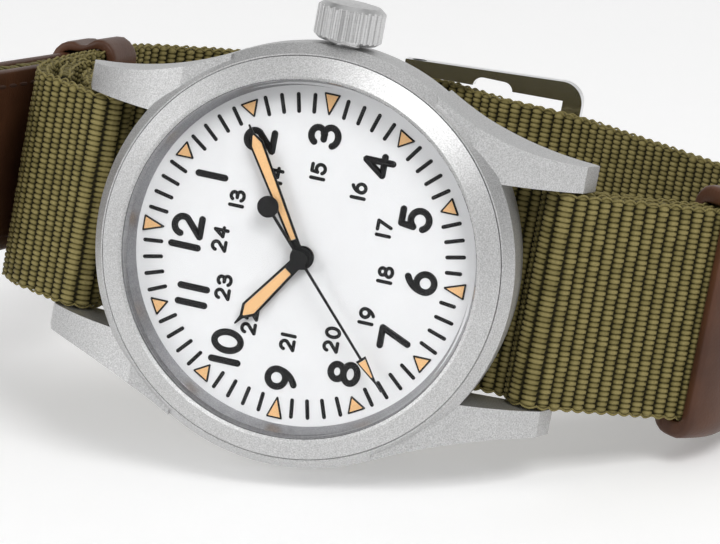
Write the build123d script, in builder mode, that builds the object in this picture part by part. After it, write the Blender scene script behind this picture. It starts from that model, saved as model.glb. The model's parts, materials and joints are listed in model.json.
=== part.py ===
"""Field wristwatch on a textile pass-through strap with leather trim, lying on its side.

Every piece is modelled on the bench: +X to the crown at 3 o'clock, +Y to 12 o'clock, +Z out
of the dial, with the dial's face at Z = 0. At the end each piece is turned into the pose in
which the buckled watch lies on a table, on the 9 o'clock side, with +Z up.
"""
from build123d import *
from math import atan2, cos, degrees, pi, radians, sin, tan
import os

# ---- driving dimensions, mm ----
case_radius = 19.0
lug_to_lug = 47.0
lug_gap = 20.0
bar_reach = 21.3            # spring bar centres from the dial's centre
bar_depth = -6.1            # spring bar centres below the dial
bar_radius = 0.75
bezel_radius = 18.1
crystal_radius = 15.95
dial_radius = 15.6
dial_opening = 15.25
back_bottom = -6.5
crown_axis = -1.9
crown_radius = 3.05
crown_start = 19.3
crown_end = 22.7
movement_radius = 12.8
band_width = 19.4
band_thick = 1.4
band_gap = 0.1
leather_thick = 0.75
tail_width = 17.8
side_roll = 8.97            # degrees, 6 o'clock side lower than 12
dial_tip = 6.3              # degrees, dial leaning back

# ---- where things are in the movement (x, y) ----
barrel_at = (2.75, 6.8)
second_at = (-2.45, 4.9)
third_at = (-2.9, 1.0)
escape_at = (-1.0, -2.2)
pallet_at = (-3.1, -3.45)
balance_at = (-5.6, -4.95)
crown_wheel_at = (6.28, 0.0)
minute_wheel_at = (2.55, -1.58)
setting_wheel_at = (5.65, -0.62)


def disc(radius, bottom, top, at=(0, 0), mode=Mode.ADD):
    """Upright cylinder between two heights."""
    with Locations((at[0], at[1], bottom)):
        Cylinder(radius, top - bottom, align=(Align.CENTER, Align.CENTER, Align.MIN), mode=mode)


def turned(*points):
    """Closed outline of radius and height, for revolving about the dial's axis."""
    with BuildSketch(Plane.XZ) as outline:
        with BuildLine():
            Polyline(*points, close=True)
        make_face()
    return outline.sketch


def toothed(teeth, pitch_radius, height, at=(0, 0), bore=0.0, spin=0.0):
    """Flat outline of a gear with straight-sided teeth, one of them at the spin angle."""
    module = 2 * pitch_radius / teeth
    root = pitch_radius - 1.15 * module
    with BuildSketch(Plane.XY.offset(height)) as outline:
        with Locations(at):
            Circle(root)
            with PolarLocations(root - 0.1 * module, teeth, start_angle=spin):
                with Locations(Location((0, 0), -90)):
                    Trapezoid(1.5 * module, 2.1 * module, 74, align=(Align.CENTER, Align.MIN))
            if bore:
                Circle(bore, mode=Mode.SUBTRACT)
    return outline.sketch


def meshed(teeth, at, spin, next_teeth, next_at):
    """Spin of a gear that puts one of its gaps where the gear before it has a tooth."""
    heading = degrees(atan2(next_at[1] - at[1], next_at[0] - at[0]))
    offset_teeth = (spin - heading) * teeth / 360 % 1
    return heading + 180 - (offset_teeth + 0.5) * 360 / next_teeth


def around(centre, radius, start, end):
    """Path corner that carries a line round a bar, between two tangent angles in degrees."""
    half = radians(abs(end - start) / 2)
    middle = radians((start + end) / 2)
    reach = radius / cos(half)
    return (centre[0] + reach * cos(middle), centre[1] + reach * sin(middle), radius)


def beside(corners, gap):
    """The same run of corners, moved sideways by a gap to the left of its direction."""
    moved = []
    for before, here, after in zip(corners, corners[1:], corners[2:]):
        turn_in = atan2(here[1] - before[1], here[0] - before[0])
        turn_out = atan2(after[1] - here[1], after[0] - here[0])
        turn = (turn_out - turn_in + pi) % (2 * pi) - pi
        side = turn_in + turn / 2 + pi / 2
        reach = gap / cos(turn / 2)
        radius = here[2] - gap if turn > 0 else here[2] + gap
        moved.append((here[0] + reach * cos(side), here[1] + reach * sin(side), radius))
    return moved


def toward(start, target, distance):
    """Point at a distance from one corner towards another."""
    heading = atan2(target[1] - start[1], target[0] - start[0])
    return (start[0] + distance * cos(heading), start[1] + distance * sin(heading))


def route(corners):
    """Line in the YZ plane through (y, z, radius) corners, its ends given without a radius."""
    with BuildLine(Plane.YZ) as line:
        FilletPolyline(*[c[:2] for c in corners], radius=[c[2] for c in corners[1:-1]])
    return Wire(line.edges())


def across(line, width, low, high):
    """Section of a flat band at the line's start, between two distances to its left."""
    start = Plane(origin=line @ 0, x_dir=(1, 0, 0), z_dir=line % 0)
    side = -1 if (start.y_dir.cross(Vector(line % 0))).X > 0 else 1
    with BuildSketch(start) as section:
        with Locations((0, side * (low + high) / 2)):
            Rectangle(width, high - low)
    return section.sketch


def coil(turns, inner, pitch, height, at):
    """Flat spiral of half circles that grow by half the pitch."""
    with BuildLine(Plane.XY.offset(height)) as line:
        for k in range(2 * turns):
            middle = at[0] + (pitch / 2 if k % 2 else 0)
            CenterArc((middle, at[1]), inner + pitch * k / 2, 180 * (k % 2), 180)
    return line.line


# ================= case =================
case_outline = turned(
    (16.6, 1.0), (18.02, 1.0), (18.02, 1.45), (18.15, 1.45), (case_radius, 0.2), (case_radius, -2.6),
    (18.8, -5.1), (18.3, -5.6), (16.6, -5.6))
lug_end = lug_to_lug / 2
lug_side = [(0, 0.95), (13.5, 0.9), (16.4, 0.0), (20.0, -2.15), (lug_end - 0.75, -4.65),
            (lug_end, -7.0), (lug_end - 0.35, -7.3), (19.0, -6.7), (13.0, -5.5), (0, -5.5)]

with BuildPart() as mid_case:
    # plan of the two lugs at 12: flared flanks, then cut to the side shape
    with BuildSketch(Plane.XY.offset(-8)):
        with BuildLine():
            Polyline((16.5, 9.4), (10.0, 9.4), (10.0, lug_end), (12.35, lug_end))
            ThreePointArc((12.35, lug_end), (13.6, 16.2), (16.5, 9.4))
        make_face()
        mirror(about=Plane.YZ)
        mirror(about=Plane.XZ)
    extrude(amount=10)
    with BuildSketch(Plane.YZ):
        with BuildLine():
            Polyline(*lug_side[:3])
            Spline(lug_side[2], lug_side[3], lug_side[4])
            Polyline(*lug_side[4:], lug_side[0])
        make_face()
        mirror(about=Plane.YZ)
    extrude(amount=20, both=True, mode=Mode.INTERSECT)
    revolve(case_outline, axis=Axis.Z)
    disc(16.6, -8, 2, mode=Mode.SUBTRACT)
    disc(17.65, -8, -5.6, mode=Mode.SUBTRACT)
    # blind spring bar holes and the crown tube's hole
    with Locations((0, bar_reach, bar_depth), (0, -bar_reach, bar_depth)):
        Cylinder(0.5, lug_gap + 2.0, rotation=(0, 90, 0), mode=Mode.SUBTRACT)
    with Locations((17.8, 0, crown_axis)):
        Cylinder(1.25, 4, rotation=(0, 90, 0), mode=Mode.SUBTRACT)

with BuildPart() as bezel:
    revolve(turned((16.62, 1.02), (17.95, 1.02), (17.95, 1.52), (16.28, 2.6), (15.99, 2.46),
                   (15.99, 2.38), (16.2, 2.38), (16.2, 1.52), (16.62, 1.52)), axis=Axis.Z)

with BuildPart() as crystal:
    disc(crystal_radius, 1.5, 2.75)
    chamfer(crystal.edges().group_by(Axis.Z)[-1], length=0.33)

with BuildPart() as crystal_gasket:
    disc(16.18, 1.5, 2.36)
    disc(15.96, 1.4, 2.4, mode=Mode.SUBTRACT)

with BuildPart() as rehaut_ring:
    revolve(turned((dial_opening, 0.02), (16.55, 0.02), (16.55, 1.48), (15.72, 1.48)), axis=Axis.Z)

with BuildPart() as dial_plate:
    disc(dial_radius, -0.4, 0)
    disc(1.0, -1, 1, mode=Mode.SUBTRACT)

# ---- lume triangles on the hours: the four quarters stand further out ----
with BuildPart() as hour_markers:
    for hour in range(12):
        quarter = hour % 3 == 0
        tip, base, half = (12.98, 14.68, 0.6) if quarter else (13.2, 14.42, 0.7)
        with BuildSketch(Plane.XY):
            with Locations(Rotation(0, 0, -30 * hour)):
                Polygon((0, tip), (half, base), (-half, base), align=None)
        extrude(amount=0.1)

with BuildPart() as movement_ring:
    disc(16.5, -3.9, -0.42)
    disc(12.85, -4, 0, mode=Mode.SUBTRACT)
    with Locations((14, 0, crown_axis)):
        Cylinder(0.9, 8, rotation=(0, 90, 0), mode=Mode.SUBTRACT)

with BuildPart() as case_back:
    disc(17.6, back_bottom, -5.62)
    chamfer(case_back.edges().group_by(Axis.Z)[0], length=0.5)
    disc(16.55, -5.62, -4.6)
    disc(15.2, -5.4, -4.5, mode=Mode.SUBTRACT)
    with BuildSketch(Plane.XY.offset(back_bottom)):
        with PolarLocations(17.1, 6):
            Rectangle(1.6, 3.2)
    extrude(amount=0.45, mode=Mode.SUBTRACT)

with BuildPart() as case_back_gasket:
    disc(16.5, -4.58, -4.15)
    disc(15.7, -5, -4, mode=Mode.SUBTRACT)

# ================= crown and keyless works =================
crown_line = Axis((0, 0, crown_axis), (1, 0, 0))


def along_stem(radius, start, end, mode=Mode.ADD):
    """Cylinder on the crown's axis between two distances from the dial's centre."""
    with Locations(((start + end) / 2, 0, crown_axis)):
        Cylinder(radius, end - start, rotation=(0, 90, 0), mode=mode)


with BuildPart() as crown:
    with BuildSketch(Plane.XZ):
        with BuildLine():
            Polyline((21.5, crown_axis), (21.5, crown_axis + 1.78), (crown_start, crown_axis + 1.78),
                     (crown_start, crown_axis + 2.6), (crown_start + 0.35, crown_axis + crown_radius),
                     (crown_end - 0.5, crown_axis + crown_radius), (crown_end - 0.05, crown_axis + 2.5),
                     (crown_end + 0.12, crown_axis + 1.4), (crown_end + 0.12, crown_axis), close=True)
        make_face()
    revolve(axis=crown_line)
    with BuildSketch(Plane(origin=(crown_start - 1, 0, crown_axis), z_dir=(1, 0, 0))):
        with PolarLocations(crown_radius + 0.08, 28, start_angle=4):
            Circle(0.26)
    extrude(amount=6, mode=Mode.SUBTRACT)
    along_stem(0.5, 21, 22.1, mode=Mode.SUBTRACT)

with BuildPart() as crown_gasket:
    along_stem(1.74, 20.0, 20.6)
    along_stem(1.28, 19, 21, mode=Mode.SUBTRACT)

with BuildPart() as crown_tube:
    along_stem(1.25, 16.65, 20.9)
    along_stem(0.56, 16, 21, mode=Mode.SUBTRACT)

with BuildPart() as winding_stem:
    along_stem(0.5, 4.9, 22.1)
    along_stem(0.6, 10.6, 11.5, mode=Mode.SUBTRACT)
    along_stem(0.3, 10.5, 11.6)

stem_plane = Plane(origin=(0, 0, crown_axis), z_dir=(1, 0, 0))

with BuildPart() as winding_pinion:
    extrude(stem_plane.offset(7.45) * toothed(16, 1.02, 0, bore=0.55), amount=1.4)

with BuildPart() as sliding_pinion:
    extrude(stem_plane.offset(6.1) * toothed(14, 0.85, 0, bore=0.55), amount=0.5)
    along_stem(0.7, 6.6, 7.1)
    along_stem(0.86, 7.1, 7.4)
    along_stem(0.55, 6, 7.5, mode=Mode.SUBTRACT)

lever_pivot = (10.55, 3.6)
lever_pin = (11.05, 0.58)
with BuildPart() as setting_lever:
    with BuildSketch(Plane.XY.offset(-0.93)):
        with Locations(lever_pivot):
            Circle(0.8)
        with Locations(lever_pin):
            Circle(0.4)
        make_hull()
        with Locations(lever_pivot):
            Circle(0.37, mode=Mode.SUBTRACT)
    extrude(amount=0.25)
    disc(0.22, -2.1, -0.93, at=lever_pin)

with BuildPart() as crown_wheel:
    extrude(toothed(21, 2.6, -4.15, at=crown_wheel_at, spin=meshed(40, barrel_at, 0, 21, crown_wheel_at)),
            amount=0.25)
    extrude(toothed(27, 1.7, -3.9, at=crown_wheel_at), amount=0.78)
    disc(0.42, -5, -3, at=crown_wheel_at, mode=Mode.SUBTRACT)

# ================= movement: plate, bridges =================
pillars = [(-8.6, 6.0), (10.75, 4.35), (-4.6, 10.4)]
train_pillars = [(6.5, -5.6), (1.5, -9.6), (-9.6, 0.9)]
cock_foot = (-10.9, -2.2)
pallet_foot = (-0.4, -6.4)

with BuildPart() as main_plate:
    disc(movement_radius, -1.95, -0.42)
    disc(12.5, -0.95, 0, mode=Mode.SUBTRACT)
    disc(0.17, -3, 0, mode=Mode.SUBTRACT)
    for at in (second_at, third_at, escape_at, pallet_at, balance_at, barrel_at):
        disc(0.5 if at == barrel_at else 0.17, -3, 0, at=at, mode=Mode.SUBTRACT)
    for at in pillars + train_pillars + [cock_foot, pallet_foot]:
        disc(0.36, -3, 0, at=at, mode=Mode.SUBTRACT)
    disc(0.32, -3, 0, at=lever_pivot, mode=Mode.SUBTRACT)
    along_stem(0.6, 4.6, 13, mode=Mode.SUBTRACT)
    with Locations((7.55, 0, -1.6)):
        Box(3.1, 2.6, 2.6, mode=Mode.SUBTRACT)
    with Locations((11.4, 0.75, -1.6)):
        Box(2.4, 1.6, 2.6, mode=Mode.SUBTRACT)
    # posts of the minute and setting wheels
    for at in (minute_wheel_at, setting_wheel_at):
        disc(0.27, -1.0, -0.5, at=at)

with BuildPart() as barrel_bridge:
    with BuildSketch(Plane.XY.offset(-3.85)):
        Circle(12.2)
        with BuildLine():
            Polyline((-13, 2.1), (crown_wheel_at[0], 2.1), (crown_wheel_at[0], -1.4), (13, -1.4), (13, 13),
                     (-13, 13), close=True)
        make_face(mode=Mode.INTERSECT)
        with Locations(crown_wheel_at):
            Circle(2.0, mode=Mode.SUBTRACT)
    extrude(amount=0.5)
    for at in pillars:
        disc(0.85, -3.4, -1.95, at=at)
        disc(0.36, -5, -1, at=at, mode=Mode.SUBTRACT)
    disc(0.5, -5, -3, at=barrel_at, mode=Mode.SUBTRACT)
    disc(0.17, -5, -3, at=second_at, mode=Mode.SUBTRACT)

with BuildPart() as train_bridge:
    with BuildSketch(Plane.XY.offset(-3.85)):
        Circle(12.2)
        with BuildLine():
            Polyline((-13, 1.9), (4.2, 1.9), (4.2, -1.6), (13, -1.6), (13, -13), (-13, -13), close=True)
        make_face(mode=Mode.INTERSECT)
        with Locations(balance_at):
            Circle(4.2, mode=Mode.SUBTRACT)
        with Locations(cock_foot):
            Circle(2.0, mode=Mode.SUBTRACT)
        with Locations(crown_wheel_at):
            Circle(2.0, mode=Mode.SUBTRACT)
    extrude(amount=0.6)
    for at in train_pillars:
        disc(0.95, -3.4, -1.95, at=at)
        disc(0.36, -5, -1, at=at, mode=Mode.SUBTRACT)
    disc(0.17, -5, -3, mode=Mode.SUBTRACT)
    for at in (third_at, escape_at):
        disc(0.55, -5, -3, at=at, mode=Mode.SUBTRACT)

with BuildPart() as jewels:
    for at in (third_at, escape_at):
        disc(0.53, -3.6, -3.25, at=at)
        disc(0.17, -4, -3, at=at, mode=Mode.SUBTRACT)

with BuildPart() as pallet_bridge:
    with BuildSketch(Plane.XY.offset(-3.1)):
        with Locations(pallet_at):
            Circle(0.6)
        with Locations(pallet_foot):
            Circle(0.9)
        make_hull()
    extrude(amount=0.25)
    disc(0.7, -2.9, -1.95, at=pallet_foot)
    disc(0.36, -4, -1, at=pallet_foot, mode=Mode.SUBTRACT)
    disc(0.13, -4, -1, at=pallet_at, mode=Mode.SUBTRACT)

with BuildPart() as balance_cock:
    with BuildSketch(Plane.XY.offset(-4.35)):
        with Locations(cock_foot):
            Circle(1.15)
        with Locations(balance_at):
            Circle(0.9)
        make_hull()
    extrude(amount=0.45)
    disc(1.1, -3.95, -1.95, at=cock_foot)
    disc(0.36, -5, -1, at=cock_foot, mode=Mode.SUBTRACT)
    disc(0.13, -5, -1, at=balance_at, mode=Mode.SUBTRACT)

# seven bridge screws, then the crown wheel's and the setting lever's shouldered screws
with BuildPart() as movement_screws:
    seats = [(at, -3.85) for at in pillars + train_pillars] + [(cock_foot, -4.35)]
    for at, seat in seats:
        disc(0.34, seat, -1.2, at=at)
        disc(0.62, seat - 0.22, seat, at=at)
        with Locations((at[0], at[1], seat - 0.2)):
            Box(1.4, 0.16, 0.16, mode=Mode.SUBTRACT)
    disc(0.38, -4.2, -3.1, at=crown_wheel_at)
    disc(1.0, -4.4, -4.2, at=crown_wheel_at)
    disc(0.32, -1.6, -0.66, at=lever_pivot)
    disc(0.7, -0.66, -0.45, at=lever_pivot)

# ================= movement: barrel, train, escapement =================
with BuildPart() as barrel:
    extrude(toothed(72, 4.75, -2.6, at=barrel_at), amount=0.3)
    disc(4.4, -3.15, -2.3, at=barrel_at)
    disc(4.1, -3.2, -2.45, at=barrel_at, mode=Mode.SUBTRACT)
    disc(0.5, -4, -2, at=barrel_at, mode=Mode.SUBTRACT)

with BuildPart() as barrel_cover:
    disc(4.4, -3.26, -3.16, at=barrel_at)
    disc(0.5, -4, -3, at=barrel_at, mode=Mode.SUBTRACT)

with BuildPart() as mainspring:
    with BuildSketch(Plane.XY.offset(-3.1)):
        trace(coil(7, 1.02, 0.42, 0, barrel_at), 0.12)
    extrude(amount=0.6)

with BuildPart() as barrel_arbor:
    disc(0.46, -3.88, -1.3, at=barrel_at)
    disc(0.9, -3.1, -2.5, at=barrel_at)

with BuildPart() as ratchet_wheel:
    extrude(toothed(40, 5.0, -4.15, at=barrel_at), amount=0.25)

with BuildPart() as ratchet_screw:
    disc(1.2, -4.38, -4.15, at=barrel_at)
    with Locations((*barrel_at, -4.36)):
        Box(2.6, 0.25, 0.2, mode=Mode.SUBTRACT)

with BuildPart() as click:
    with BuildSketch(Plane.XY.offset(-4.1)):
        with Locations((-4.0, 7.9)):
            Circle(0.6)
        with Locations((-3.05, 7.2)):
            Circle(0.16)
        make_hull()
    extrude(amount=0.22)


def crossed(teeth, pitch, height, at, hub, spin=0.0):
    """Outline of a wheel with four arms between its toothed rim and its hub."""
    with BuildSketch(Plane.XY.offset(height)) as windows:
        with Locations(at):
            Circle(pitch * 0.8)
            Circle(hub, mode=Mode.SUBTRACT)
            Rectangle(2 * pitch, 0.35, mode=Mode.SUBTRACT)
            Rectangle(0.35, 2 * pitch, mode=Mode.SUBTRACT)
    return toothed(teeth, pitch, height, at=at, spin=spin) - windows.sketch


with BuildPart() as second_wheel:
    extrude(crossed(64, 3.49, -2.15, second_at, 1.1), amount=0.15)
    extrude(toothed(12, 0.77, -2.75, at=second_at, spin=meshed(72, barrel_at, 0, 12, second_at)), amount=0.6)
    disc(0.14, -3.6, -1.2, at=second_at)

with BuildPart() as third_wheel:
    extrude(crossed(60, 2.69, -3.0, third_at, 0.7), amount=0.15)
    extrude(toothed(8, 0.42, -2.3, at=third_at, spin=meshed(64, second_at, 0, 8, third_at)), amount=0.32)
    disc(0.14, -3.55, -1.2, at=third_at)

with BuildPart() as fourth_wheel:
    extrude(crossed(72, 2.16, -2.5, (0, 0), 0.6), amount=0.15)
    extrude(toothed(8, 0.35, -3.1, spin=meshed(60, third_at, 0, 8, (0, 0))), amount=0.6)
    disc(0.12, -3.6, 1.28)

with BuildPart() as escape_wheel:
    extrude(crossed(15, 1.62, -2.75, escape_at, 0.45), amount=0.15)
    extrude(toothed(8, 0.235, -2.6, at=escape_at, spin=meshed(72, (0, 0), 0, 8, escape_at)), amount=0.3)
    disc(0.1, -3.55, -1.2, at=escape_at)

pallet_line = degrees(atan2(balance_at[1] - escape_at[1], balance_at[0] - escape_at[0]))
with BuildPart() as pallet_fork:
    with BuildSketch(Plane.XY.offset(-2.75)):
        with Locations(Location(pallet_at, pallet_line)):
            Circle(0.3)
            Rectangle(2.2, 0.24, align=(Align.MIN, Align.CENTER))
            with Locations((2.3, 0)):
                Rectangle(0.5, 0.7)
            with Locations((2.45, 0)):
                Rectangle(0.5, 0.32, mode=Mode.SUBTRACT)
            Rectangle(0.3, 2.6)
            with Locations((-0.22, 1.2), (-0.22, -1.2)):
                Rectangle(0.4, 0.22)
    extrude(amount=0.15)
    disc(0.1, -3.05, -1.2, at=pallet_at)

with BuildPart() as balance_wheel:
    with BuildSketch(Plane.XY.offset(-3.45)):
        with Locations(balance_at):
            Circle(3.9)
            Circle(3.45, mode=Mode.SUBTRACT)
            Circle(0.6)
            Rectangle(7.2, 0.4)
            Rectangle(0.4, 7.2)
    extrude(amount=0.25)
    disc(0.1, -4.2, -1.2, at=balance_at)
    disc(0.35, -3.66, -3.4, at=balance_at)
    disc(0.45, -3.25, -2.9, at=balance_at)

with BuildPart() as hairspring:
    with BuildSketch(Plane.XY.offset(-3.64)):
        trace(coil(6, 0.42, 0.24, 0, balance_at), 0.05)
    extrude(amount=0.13)

# ================= motion works under the dial =================
with BuildPart() as cannon_pinion:
    extrude(toothed(12, 0.73, -0.93), amount=0.2)
    disc(0.38, -0.93, 1.02)
    disc(0.16, -1, 2, mode=Mode.SUBTRACT)

with BuildPart() as hour_wheel:
    extrude(toothed(40, 2.36, -0.6, spin=meshed(10, minute_wheel_at, 0, 40, (0, 0))), amount=0.15)
    disc(0.64, -0.68, 0.6)
    disc(0.42, -1, 2, mode=Mode.SUBTRACT)

minute_wheel_spin = meshed(12, (0, 0), 0, 36, minute_wheel_at)

with BuildPart() as minute_wheel:
    extrude(crossed(36, 2.23, -0.92, minute_wheel_at, 0.9, spin=minute_wheel_spin), amount=0.14)
    extrude(toothed(10, 0.58, -0.78, at=minute_wheel_at), amount=0.3)
    disc(0.3, -1, 0, at=minute_wheel_at, mode=Mode.SUBTRACT)

with BuildPart() as setting_wheel:
    extrude(toothed(16, 0.96, -0.92, at=setting_wheel_at,
                    spin=meshed(36, minute_wheel_at, minute_wheel_spin, 16, setting_wheel_at)), amount=0.14)
    disc(0.3, -1, 0, at=setting_wheel_at, mode=Mode.SUBTRACT)

# ================= hands, drawn pointing at 12 and then turned =================
hour_angle = -304.8
minute_angle = -58.0
second_angle = -227.4


def hand_outline(angle, height, half_outline, grown=0.0):
    """Symmetric outline above the dial, its right half given outwards, turned to its reading."""
    left = [(-x, y) for x, y in reversed(half_outline)]
    with BuildSketch(Plane.XY.offset(height)) as outline:
        with Locations(Rotation(0, 0, angle)):
            Polygon(*half_outline, *left, align=None)
        if grown:
            offset(amount=grown, kind=Kind.INTERSECTION)
    return outline.sketch


hour_lume_shape = [(0.36, 1.75), (0.56, 6.7), (0.04, 7.5)]
minute_lume_shape = [(0.2, 1.8), (0.44, 10.75), (0.05, 11.6)]
second_lume_shape = [(0.34, 10.55), (0.05, 12.2)]
window_gap = 0.02

with BuildPart() as hour_hand:
    extrude(hand_outline(hour_angle, 0.46, [(0.56, 0.6), (0.8, 6.8), (0.2, 7.75), (0.07, 8.62)]), amount=0.14)
    extrude(hand_outline(hour_angle, 0.4, hour_lume_shape, window_gap), amount=0.3, mode=Mode.SUBTRACT)
    disc(1.08, 0.46, 0.6)
    disc(0.66, 0, 1, mode=Mode.SUBTRACT)

with BuildPart() as hour_lume:
    extrude(hand_outline(hour_angle, 0.48, hour_lume_shape), amount=0.15)

with BuildPart() as minute_hand:
    extrude(hand_outline(minute_angle, 0.86, [(0.4, 0.6), (0.64, 10.9), (0.16, 11.75), (0.07, 12.65)]), amount=0.14)
    extrude(hand_outline(minute_angle, 0.8, minute_lume_shape, window_gap), amount=0.3, mode=Mode.SUBTRACT)
    disc(0.95, 0.86, 1.0)
    disc(0.4, 0, 2, mode=Mode.SUBTRACT)

with BuildPart() as minute_lume:
    extrude(hand_outline(minute_angle, 0.88, minute_lume_shape), amount=0.15)

with BuildPart() as second_hand:
    needle = [(0.13, -4.6), (0.11, 10.3), (0.5, 10.3), (0.06, 12.9), (0.05, 13.75)]
    extrude(hand_outline(second_angle, 1.28, needle), amount=0.12)
    extrude(hand_outline(second_angle, 1.2, second_lume_shape, window_gap), amount=0.3, mode=Mode.SUBTRACT)
    disc(0.7, 1.28, 1.4)
    counterweight = Vector(0, -5.39).rotate(Axis.Z, second_angle)
    disc(0.97, 1.28, 1.4, at=(counterweight.X, counterweight.Y))

with BuildPart() as second_lume:
    extrude(hand_outline(second_angle, 1.3, second_lume_shape), amount=0.12)

# ================= spring bars in the lugs =================
bar_places = [(0, bar_reach, bar_depth), (0, -bar_reach, bar_depth)]

with BuildPart() as spring_bar_tubes:
    with Locations(*bar_places):
        Cylinder(bar_radius, 16.6, rotation=(0, 90, 0))
        Cylinder(0.5, 16.6, rotation=(0, 90, 0), mode=Mode.SUBTRACT)

# shouldered pins that reach from each tube into the lugs
with BuildPart() as spring_bar_tips:
    for side in (-1, 1):
        with Locations(*[(side * 8.9, y, z) for _, y, z in bar_places]):
            Cylinder(0.46, 4.0, rotation=(0, 90, 0))
        with Locations(*[(side * 9.6, y, z) for _, y, z in bar_places]):
            Cylinder(0.7, 0.5, rotation=(0, 90, 0))

# ================= strap: routes in the plane x = 0, as (y, z, corner radius) =================
wrap = bar_radius + 0.08 + band_thick / 2
bar_12 = (bar_reach, bar_depth)
bar_6 = (-bar_reach, bar_depth)
buckle_bar_at = (3.2, -59.4)
end_bar_at = (-13.4, -58.8)
buckle_turn = degrees(atan2(end_bar_at[1] - buckle_bar_at[1], end_bar_at[0] - buckle_bar_at[0]))
under_case = back_bottom - 0.12 - band_thick / 2
gap_line = bar_reach - wrap

# the loop's corners on the 12 side, from the buckle up, and on the 6 side, from the bar down
side_12 = [(17.5, -55.86, 14), (28.0, -41.5, 12), (30.0, -26.0, 30), (30.5, -17.5, 25), (29.2, -9.77, 7)]
side_6 = [(-35.6, -14.96, 9), (-38.25, -27.3, 9), (-33.5, -40.5, 18), (-14.6, -55.7, 9)]
tail_rise = [(-6.4, -57.4, 4), around(buckle_bar_at, 3.83, -121, -70.1)]
band_corners = [
    (12.9, -55.87), (10.87, -56.65, 4),
    around(buckle_bar_at, wrap, 98.9, buckle_turn), around(buckle_bar_at, wrap, buckle_turn - 360, -70.1),
    *side_12,
    around(bar_12, wrap, 55, 90), around(bar_12, wrap, 90, 180),
    (gap_line, under_case, 1.4), (-gap_line, under_case, 1.4),
    around(bar_6, wrap, 0, 90), around(bar_6, wrap, 90, 127),
    *side_6, *tail_rise]

# the leather-faced tail lies outside the 12 side and runs straight on past it
tail_step = band_thick / 2 + 0.12 + leather_thick + 0.03 + band_thick / 2
tail_corners = beside([around(buckle_bar_at, wrap, buckle_turn - 360, -70.1), *side_12[:3]], -tail_step)
tail_tip = (35.3, -4.4)
tail_start = (8.0, tail_rise[1][1] + (8.0 - tail_rise[1][0]) * tan(radians(19.9)))
band_route = route([*band_corners, tail_start])
tail_route = route([tail_start, *tail_corners, tail_tip])

# the lining band starts with a fold inside the 12 side and doubles the 6 side
lining_step = band_thick + band_gap
lining_under = under_case - lining_step
lining_6 = beside([around(bar_6, wrap, 90, 127), *side_6], lining_step)
first, second, third = lining_6[:3]
lining_meet = (first[0] + (lining_under - first[1]) / tan(radians(37)), lining_under)
lining_corners = [
    (27.2, -11.2), (28.75, -17.5, 14), (28.6, -22.9, 1.22), (26.15, -22.9, 1.22), (26.1, -15.0, 6),
    (23.6, lining_under, 3), (*lining_meet, 4), first, second, toward(second, third, 3.6)]

for name, corners in (("band", band_corners), ("lining", lining_corners)):
    print(name, "smallest corner radius", min(c[2] for c in corners if len(c) == 3))

hole_pitch = 6.5
hole_radius = 1.05
tongue_half = 0.95
leather_low = band_thick / 2 + 0.03
leather_high = leather_low + leather_thick
leather_start = (-20.0, side_6[-1][1] + 5.4 * 0.8042)
facing_route = route([leather_start, side_6[-1], *tail_rise, *tail_corners, tail_tip])
buckle_plane = Plane(origin=(0, *buckle_bar_at), x_dir=(0, cos(radians(buckle_turn)), sin(radians(buckle_turn))),
                     z_dir=(0, sin(radians(buckle_turn)), -cos(radians(buckle_turn))))
tongue_slot = (2.4, 10.0)


def punch_tail():
    """Spare holes along the tail, and the hole in use, drawn out where the tongue passes."""
    for k in range(7):
        distance = 14 + hole_pitch * k
        here = tail_route.position_at(distance, position_mode=PositionMode.LENGTH)
        heading = tail_route.tangent_at(distance, position_mode=PositionMode.LENGTH)
        with Locations(Plane(origin=here, x_dir=(1, 0, 0), z_dir=heading.cross(Vector(1, 0, 0)))):
            Cylinder(hole_radius, 4.2, mode=Mode.SUBTRACT)
    with BuildSketch(buckle_plane.offset(-6)) as slot:
        with Locations((sum(tongue_slot) / 2, 0)):
            SlotOverall(tongue_slot[1] - tongue_slot[0], 2 * tongue_half + 0.3)
    extrude(slot.sketch, amount=10, mode=Mode.SUBTRACT)


with BuildPart() as main_strap:
    sweep(across(band_route, band_width, -band_thick / 2, band_thick / 2), path=band_route)
    sweep(across(tail_route, tail_width, -band_thick / 2, band_thick / 2), path=tail_route)
    punch_tail()
    # slit in the fold that lets the tongue out
    with Locations((0, *buckle_bar_at)):
        Cylinder(wrap + band_thick / 2 + 0.3, 2 * tongue_half + 0.5, rotation=(0, 90, 0), mode=Mode.SUBTRACT)

with BuildPart() as tail_facing:
    sweep(across(facing_route, tail_width, -leather_high, -leather_low), path=facing_route)
    punch_tail()

with BuildPart() as tail_lining:
    sweep(across(tail_route, tail_width, leather_low, leather_high), path=tail_route)
    punch_tail()

with BuildPart() as lining_strap:
    lining_route = route(lining_corners)
    sweep(across(lining_route, band_width, -band_thick / 2, band_thick / 2), path=lining_route)

# ---- leather ring that ends the lining band and holds both layers on the 6 side ----
ring_corner, ring_next = beside([around(bar_6, wrap, 90, 127), *side_6[:3]], lining_step / 2)
ring_back = (ring_corner[0] + cos(radians(37)), ring_corner[1] + sin(radians(37)))
ring_route = route([toward(ring_corner, ring_back, 3.8), ring_corner, toward(ring_corner, ring_next, 10.2)])
with BuildPart() as leather_ring:
    sweep(across(ring_route, 23.6, -2.75, 2.75), path=ring_route)
    sweep(across(ring_route, 20.6, -1.52, 1.52), path=ring_route, mode=Mode.SUBTRACT)
    split(bisect_by=Plane(origin=ring_route @ 0.13, z_dir=ring_route % 0.13), keep=Keep.TOP)

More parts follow.
